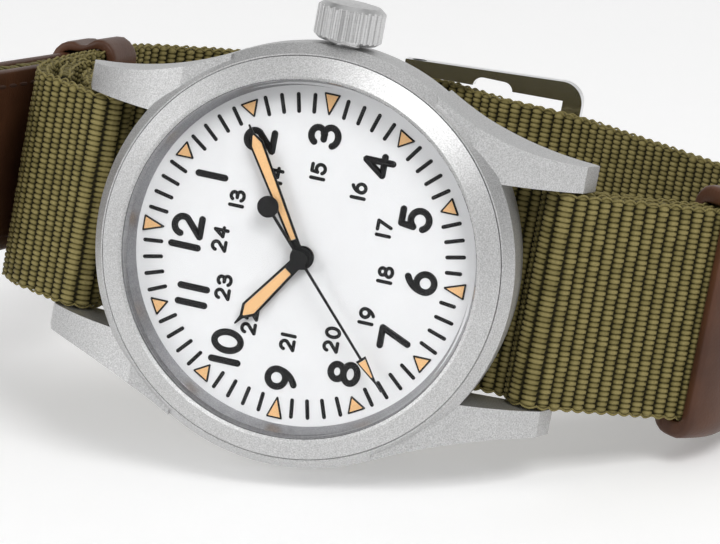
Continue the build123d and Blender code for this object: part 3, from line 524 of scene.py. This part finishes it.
def punch(target):
    """Cuts the row of holes, and the slot in use under the tongue, through a strip."""
    cutters = bmesh.new()
    places = FIRST_HOLE + HOLE_PITCH * np.arange(HOLE_COUNT)
    for point, normal in zip(*stations(CORE_CORNERS, places)):
        along = np.array((normal[1], -normal[0]))
        ring = []
        for depth in (-2.1, 2.1):
            for step in range(24):
                angle = 2 * pi * step / 24
                yz = point + normal * depth + along * HOLE_RADIUS * sin(angle)
                ring.append(cutters.verts.new(laid((HOLE_RADIUS * cos(angle), yz[0], yz[1]))))
        low, high = ring[:24], ring[24:]
        for step in range(24):
            cutters.faces.new((low[step], low[(step + 1) % 24], high[(step + 1) % 24], high[step]))
        cutters.faces.new(low[::-1])
        cutters.faces.new(high)
    # slot where the tongue passes
    turn = radians(BUCKLE_TURN)
    out = np.array((sin(turn), -cos(turn)))
    line = np.array((cos(turn), sin(turn)))
    reach = TONGUE_HALF + 0.15
    outline = [(SLOT_START + reach + reach * sin(a), reach * cos(a)) for a in np.linspace(-pi, 0, 9)]
    outline += [(SLOT_END - reach + reach * sin(a), reach * cos(a)) for a in np.linspace(0, pi, 9)]
    low, high = [], []
    for depth, store in ((-4.0, low), (6.0, high)):
        for distance, x in outline:
            yz = np.array(BUCKLE_BAR) + line * distance - out * depth
            store.append(cutters.verts.new(laid((x, yz[0], yz[1]))))
    count = len(outline)
    for step in range(count):
        cutters.faces.new((low[step], low[(step + 1) % count], high[(step + 1) % count], high[step]))
    cutters.faces.new(low[::-1])
    cutters.faces.new(high)
    bmesh.ops.recalc_face_normals(cutters, faces=cutters.faces)
    mesh = bpy.data.meshes.new("cutters")
    cutters.to_mesh(mesh)
    cutters.free()
    cutter = bpy.data.objects.new("cutters", mesh)
    bpy.context.scene.collection.objects.link(cutter)
    modifier = target.modifiers.new("holes", "BOOLEAN")
    modifier.operation = "DIFFERENCE"
    modifier.solver = "EXACT"
    modifier.object = cutter
    bpy.context.view_layer.update()
    evaluated = target.evaluated_get(bpy.context.evaluated_depsgraph_get())
    result = bpy.data.meshes.new_from_object(evaluated)
    target.modifiers.clear()
    target.data = result
    bpy.data.objects.remove(cutter)
    for polygon in result.polygons:
        polygon.use_smooth = True
    sharp = bmesh.new()
    sharp.from_mesh(result)
    for edge in sharp.edges:
        if len(edge.link_faces) == 2 and edge.calc_face_angle() > radians(50):
            edge.smooth = False
    sharp.to_mesh(result)
    sharp.free()


def leather_strip(name, corners, low, high, replaced):
    along = end_spaced(route_length(corners), 0.7)
    vertices, faces = swept(corners, along, strip_section(TAIL_WIDTH, low, high), ends=0.3)
    made = piece(name, laid(vertices), faces, "brown_leather", replaced=replaced)
    punch(made)
    return made


leather_strip("leather_facing", FACING_CORNERS, -LEATHER_HIGH, -LEATHER_LOW, ("tail_facing",))
leather_strip("leather_backing", CORE_CORNERS, LEATHER_LOW, LEATHER_HIGH, ("tail_lining",))
core = webbing("webbing_tail_core", [woven(CORE_CORNERS, TAIL_WIDTH - 0.3)])
punch(core)


def stitches(name, corners, level, pitch=2.4, inset=1.5, start=3.0, stop=3.0, span=TAIL_WIDTH):
    """Two rows of short rounded stitches lying in the leather near both edges."""
    vertices, faces = [], []
    length = route_length(corners)
    for side in (-1, 1):
        for distance in np.arange(start, length - stop, pitch):
            along = distance + np.linspace(0, pitch * 0.72, 7)
            points, normals = stations(corners, along)
            base = len(vertices)
            for k in range(7):
                swell = max(0.16, (1 - ((k - 3) / 3.2) ** 2) ** 0.5)
                for step in range(6):
                    angle = 2 * pi * step / 6
                    x = side * (span / 2 - inset) + 0.2 * swell * cos(angle) + side * 0.05 * (k - 3) / 3
                    yz = points[k] + normals[k] * (level + np.sign(level) * (0.07 * swell * sin(angle) - 0.01))
                    vertices.append((x, *yz))
            faces += tube_faces(7, 6, base=base)
    return piece(name, laid(vertices), faces, "brown_leather", material_made=THREAD)


stitches("facing_stitches", FACING_CORNERS, -LEATHER_HIGH)
stitches("backing_stitches", CORE_CORNERS, LEATHER_HIGH)


def loop_outline(half_width, low, high, radius, count=72):
    """Rounded rectangle of (x, offset), evenly stepped by angle along its sides."""
    straight_x, straight_y = 2 * (half_width - radius), (high - low) - 2 * radius
    total = 2 * straight_x + 2 * straight_y + 2 * pi * radius
    legs = [(straight_x, "line", (-half_width + radius, low), (1, 0)),
            (pi / 2 * radius, "arc", (half_width - radius, low + radius), -pi / 2),
            (straight_y, "line", (half_width, low + radius), (0, 1)),
            (pi / 2 * radius, "arc", (half_width - radius, high - radius), 0.0),
            (straight_x, "line", (half_width - radius, high), (-1, 0)),
            (pi / 2 * radius, "arc", (-half_width + radius, high - radius), pi / 2),
            (straight_y, "line", (-half_width, high - radius), (0, -1)),
            (pi / 2 * radius, "arc", (-half_width + radius, low + radius), pi)]
    result = []
    for k in range(count):
        left = k / count * total
        for leg, kind, base, direction in legs:
            if left <= leg + 1e-9:
                break
            left -= leg
        if kind == "line":
            result.append((base[0] + direction[0] * left, base[1] + direction[1] * left))
        else:
            angle = direction + left / radius
            result.append((base[0] + radius * cos(angle), base[1] + radius * sin(angle)))
    return np.array(result)


def sleeve(name, corners, span, outer, inner, body, replaced, edge=0.5):
    """Band of leather closed round the strap: its section, with rolled edges, follows both outlines."""
    start, end = span
    ring = []
    edge_steps = 4
    reach = edge / 1.25
    for k in range(edge_steps + 1):
        angle = pi / 2 * k / edge_steps
        ring.append((end - edge + edge * sin(angle), 1 - 0.5 * reach + 0.5 * reach * cos(angle)))
    for k in range(edge_steps + 1):
        angle = pi / 2 * k / edge_steps
        ring.append((end - edge + edge * cos(angle), 0.5 * reach - 0.5 * reach * sin(angle)))
    straight = np.linspace(end - edge, start + edge, 12)[1:-1]
    ring += [(s, 0.0) for s in straight]
    for k in range(edge_steps + 1):
        angle = pi / 2 * k / edge_steps
        ring.append((start + edge - edge * sin(angle), 0.5 * reach - 0.5 * reach * cos(angle)))
    for k in range(edge_steps + 1):
        angle = pi / 2 * k / edge_steps
        ring.append((start + edge - edge * cos(angle), 1 - 0.5 * reach + 0.5 * reach * sin(angle)))
    ring += [(s, 1.0) for s in straight[::-1]]
    ring = np.array(ring)
    points, normals = stations(corners, ring[:, 0])
    count = len(outer)
    vertices = np.empty((count, len(ring), 3))
    for t in range(count):
        depth = ring[:, 1:2]
        place = inner[t] * (1 - depth) + outer[t] * depth
        vertices[t, :, 0] = place[:, 0]
        vertices[t, :, 1:] = points + normals * place[:, 1:2]
    faces = tube_faces(count, len(ring), close_rows=True)
    return piece(name, laid(vertices.reshape(-1, 3)), faces, "brown_leather", body=body, replaced=replaced)


ring_corner, ring_next = beside([around(BAR_6, WRAP, 90, 127), *SIDE_6[:3]], LINING_STEP / 2)
RING_BACK = (ring_corner[0] + cos(radians(37)), ring_corner[1] + sin(radians(37)))
RING_CORNERS = [toward(ring_corner, RING_BACK, 3.8), ring_corner, toward(ring_corner, ring_next, 10.2)]
ring_outer = loop_outline(11.65, -2.75, 2.75, 2.1)
ring_inner = loop_outline(10.0, -1.52, 1.52, 0.3)
ring_span = (0.13 * route_length(RING_CORNERS) + 0.02, route_length(RING_CORNERS) - 0.02)
sleeve("leather_ring_sewn", RING_CORNERS, ring_span, ring_outer, ring_inner, "case", ("leather_ring",))

keeper_turn = atan2(SIDE_12[2][1] - SIDE_12[1][1], SIDE_12[2][0] - SIDE_12[1][0])
keeper_z = -33.5
KEEPER_HALF, KEEPER_WALL = 2.9, 1.0
keeper_y = SIDE_12[1][0] + (keeper_z - SIDE_12[1][1]) / tan(keeper_turn)
keeper_line = [(keeper_y - KEEPER_HALF * cos(keeper_turn), keeper_z - KEEPER_HALF * sin(keeper_turn)),
               (keeper_y + KEEPER_HALF * cos(keeper_turn), keeper_z + KEEPER_HALF * sin(keeper_turn))]
keeper_low = -(TAIL_STEP + LEATHER_HIGH + 0.15) - KEEPER_WALL
keeper_high = BAND_THICK / 2 + 0.15 + KEEPER_WALL
keeper_outer = loop_outline(11.0, keeper_low, keeper_high, 2.3)
keeper_inner = loop_outline(9.95, keeper_low + KEEPER_WALL, keeper_high - KEEPER_WALL, 0.9)
for outline in (keeper_outer, keeper_inner):
    # the loop narrows a little over the narrower tail
    outline[:, 0] *= 1 - 0.075 / (1 + np.exp((outline[:, 1] + 1.2) / 0.3))
keeper_middle = (keeper_low + keeper_high) / 2
dip = 0.4 * np.exp(-((keeper_outer[:, 1] - keeper_middle) / 0.8) ** 2) * (np.abs(keeper_outer[:, 0]) > 10)
keeper_outer[:, 0] -= dip * np.sign(keeper_outer[:, 0])
sleeve("leather_keeper_loop", keeper_line, (0.02, 2 * KEEPER_HALF - 0.02), keeper_outer, keeper_inner, "keeper",
       ("leather_keeper",), edge=0.48)

# ================= dial printing =================


def arc(cx, cy, rx, ry, start, end, count=14):
    return [(cx + rx * cos(radians(a)), cy + ry * sin(radians(a))) for a in np.linspace(start, end, count)]


def bezier(p0, p1, p2, count=10):
    return [tuple((1 - t) ** 2 * np.array(p0) + 2 * t * (1 - t) * np.array(p1) + t * t * np.array(p2))
            for t in np.linspace(0, 1, count)]


six = [bezier((0.2, 0.5), (-0.42, 0.3), (-0.48, -0.17)) + arc(0, -0.17, 0.48, 0.33, 180, 540, 28)[1:]]
GLYPHS = {
    "0": [arc(0, 0, 0.5, 0.5, 90, 450, 36)],
    "1": [[(0, -0.5), (0, 0.5)]],
    "2": [arc(0, 0.2, 0.46, 0.3, 172, -30, 18) + [(-0.48, -0.5), (0.5, -0.5)]],
    "3": [arc(-0.04, 0.25, 0.42, 0.25, 155, -80, 16) + arc(-0.02, -0.22, 0.5, 0.28, 75, -158, 18),
          [(-0.2, 0.02), (0.06, 0.02)]],
    "4": [[(0.22, -0.5), (0.22, 0.5), (-0.5, -0.18), (0.5, -0.18)]],
    "5": [[(0.42, 0.5), (-0.34, 0.5), (-0.42, 0.06)] + arc(-0.02, -0.16, 0.5, 0.34, 142, -155, 20)],
    "6": six,
    "7": [[(-0.48, 0.5), (0.48, 0.5), (-0.14, -0.5)]],
    "8": [arc(0, 0.26, 0.4, 0.24, -90, 270, 26), arc(0, -0.24, 0.5, 0.26, 90, 450, 28)],
    "9": [[(-x, -y) for x, y in stroke] for stroke in six],
}


def printed(strokes, width, height):
    """Raised, rounded print along 2D strokes of dial points: half-round section, domed ends."""
    vertices, faces = [], []
    half_arc = [(cos(a), sin(a)) for a in np.linspace(0, pi, 7)]
    for stroke in strokes:
        points = np.array(stroke, dtype=float)
        closed = np.linalg.norm(points[0] - points[-1]) < 1e-6
        if closed:
            points = points[:-1]
        count = len(points)
        rings = []
        for k in range(count):
            before = points[k - 1] if (k or closed) else points[0]
            after = points[(k + 1) % count] if (k < count - 1 or closed) else points[-1]
            into = points[k] - before
            out = after - points[k]
            into = into / (np.linalg.norm(into) or 1)
            out = out / (np.linalg.norm(out) or 1)
            if not into.any():
                into = out
            if not out.any():
                out = into
            bend = abs(atan2(into[0] * out[1] - into[1] * out[0], into @ out))
            if bend > radians(35):
                for share in np.linspace(0, 1, 5):
                    direction = into * (1 - share) + out * share
                    rings.append((points[k], direction / (np.linalg.norm(direction) or 1), 1.0))
            else:
                direction = into + out
                rings.append((points[k], direction / np.linalg.norm(direction), 1.0))
        if not closed:
            for first in (True, False):
                point, direction, _ = rings[0] if first else rings[-1]
                extra = []
                for angle in np.linspace(0, pi / 2 - 0.12, 5)[1:]:
                    shift = sin(angle) * width / 2 * (-1 if first else 1)
                    extra.append((point + direction * shift, direction, cos(angle)))
                rings = extra[::-1] + rings if first else rings + extra
        base = len(vertices)
        for point, direction, scale in rings:
            side = np.array((direction[1], -direction[0]))
            for across, up in half_arc:
                place = point + side * across * width / 2 * scale
                vertices.append((place[0], place[1], max(0.004, height * up ** 0.7 * scale ** 0.5)))
        faces += tube_faces(len(rings), 7, close_rows=closed, base=base)
    return vertices, faces


def numeral(text, centre, tall, wide, stroke, gap=None, narrow_one=0.0):
    """Strokes of an upright number, its digits centred on a dial point."""
    strokes = []
    widths = [narrow_one if digit == "1" else wide for digit in text]
    total = sum(widths) + (gap or 0) * (len(text) - 1)
    left = centre[0] - total / 2
    for digit, digit_width in zip(text, widths):
        middle = left + digit_width / 2
        for line in GLYPHS[digit]:
            reach_x = (digit_width - stroke) if digit != "1" else 0
            strokes.append([(middle + x * reach_x, centre[1] + y * (tall - stroke)) for x, y in line])
        left += digit_width + (gap or 0)
    return strokes


BIG = dict(tall=2.95, wide=2.2, stroke=0.53)
HOURS = {"1": (5.42, 9.4), "2": (9.42, 5.67), "3": (11.0, 0.03), "4": (9.4, -5.2), "5": (5.42, -9.3),
         "6": (0, -10.77),
         "7": (-5.45, -9.4), "8": (-9.43, -5.5), "9": (-11.17, 0)}
big_strokes = []
for text, centre in HOURS.items():
    big_strokes += numeral(text, centre, **BIG, narrow_one=0.53)
big_strokes += numeral("1", (-1.27, 10.75), **BIG, narrow_one=0.53) + numeral("2", (0.53, 10.75), **BIG)
big_strokes += numeral("1", (-10.7, 5.35), **BIG, narrow_one=0.53) + numeral("0", (-8.92, 5.37), **BIG)
for middle in (-6.25, -4.8):
    big_strokes += numeral("1", (middle, 9.25), **BIG, narrow_one=0.53)
SMALL = dict(tall=1.42, wide=1.05, stroke=0.25, gap=0.22, narrow_one=0.28)
SECOND_HALF = {"24": (0, 7.67), "13": (3.87, 6.78), "14": (6.63, 3.75), "15": (7.77, 0.03), "16": (6.83, -3.85),
               "17": (4.02, -6.68), "18": (0, -7.55), "19": (-3.98, -6.58),
               "20": (-6.73, -3.88), "21": (-7.83, 0),
               "22": (-6.73, 3.72), "23": (-4.2, 6.6)}
small_strokes = []
for text, centre in SECOND_HALF.items():
    small_strokes += numeral(text, centre, **SMALL)


def polar(radius, minute):
    return (radius * sin(pi * minute / 30), radius * cos(pi * minute / 30))


minute_strokes = []
for minute in range(60):
    if minute % 5:
        outer_end = 14.15 if minute in (29, 31) else 14.45
        minute_strokes.append([polar(12.95, minute), polar(outer_end, minute)])
outline_strokes = []
for hour in range(12):
    tip, base, half_base = (12.95, 14.7, 0.63) if hour % 3 == 0 else (13.17, 14.44, 0.73)
    turn = pi * hour / 6
    corners = [(0, tip), (half_base, base), (-half_base, base), (0, tip)]
    outline_strokes.append([(x * cos(turn) + y * sin(turn), y * cos(turn) - x * sin(turn)) for x, y in corners])
PRINTS = (("hour_numerals", big_strokes, 0.62, 0.1), ("inner_numerals", small_strokes, 0.33, 0.05),
          ("minute_marks", minute_strokes, 0.36, 0.06), ("marker_outlines", outline_strokes, 0.2, 0.12))
for name, strokes, width, height in PRINTS:
    vertices, faces = printed(strokes, width, height)
    piece(name, laid(vertices), faces, "black_lacquer")

# ================= camera, light, floor =================
camera_data = bpy.data.cameras.new("camera")
camera_data.sensor_width = 36
camera_data.lens = 192.47
camera_data.clip_start = 0.01
camera = bpy.data.objects.new("camera", camera_data)
camera.location = (0.070555, -0.351505, 0.107220)
camera.rotation_euler = (radians(75.076), radians(-0.253), radians(11.879))
bpy.context.scene.collection.objects.link(camera)
bpy.context.scene.camera = camera

FLOOR_DEPTH, FLOOR_HALF, SWEEP = 0.9, 2.2, 0.6
profile = [(-1.5, 0.0), (FLOOR_DEPTH, 0.0)]
profile += [(FLOOR_DEPTH + SWEEP * sin(a), SWEEP - SWEEP * cos(a)) for a in np.linspace(0, pi / 2, 13)[1:]]
profile.append((FLOOR_DEPTH + SWEEP, 2.5))
floor_mesh = bpy.data.meshes.new("floor")
floor_mesh.from_pydata([(x, y, z) for y, z in profile for x in (-FLOOR_HALF, FLOOR_HALF)], [],
                       [(2 * k, 2 * k + 1, 2 * k + 3, 2 * k + 2) for k in range(len(profile) - 1)])
for polygon in floor_mesh.polygons:
    polygon.use_smooth = True
floor_mesh.materials.append(grained("pale_floor", (0.86, 0.86, 0.86), 0.8, 0.0, 300, 0.01, 0.00001, 0.004,
                                     Emission_Color=(1, 1, 1, 1), Emission_Strength=0.24))
floor = bpy.data.objects.new("floor", floor_mesh)
bpy.context.scene.collection.objects.link(floor)

world = bpy.data.worlds.new("studio")
bpy.context.scene.world = world
world.use_nodes = True
world.node_tree.nodes["Background"].inputs["Color"].default_value = (1, 1, 1, 1)
world.node_tree.nodes["Background"].inputs["Strength"].default_value = 0.34


def softbox(name, place, aim, size, power):
    data = bpy.data.lights.new(name, "AREA")
    data.shape = "RECTANGLE"
    data.size, data.size_y = size
    data.energy = power
    lamp = bpy.data.objects.new(name, data)
    lamp.location = place
    lamp.rotation_euler = (Vector(aim) - Vector(place)).to_track_quat("-Z", "Y").to_euler()
    bpy.context.scene.collection.objects.link(lamp)


softbox("key", (0.35, -0.5, 0.7), (0, 0, 0.02), (0.45, 0.4), 4.0)
softbox("top", (0.15, 0.15, 0.9), (0, 0, 0.02), (0.8, 0.6), 0.5)
softbox("fill", (-0.65, -0.5, 0.4), (0, 0, 0.02), (0.5, 0.5), 2.2)
bpy.context.scene.view_settings.view_transform = "Standard"
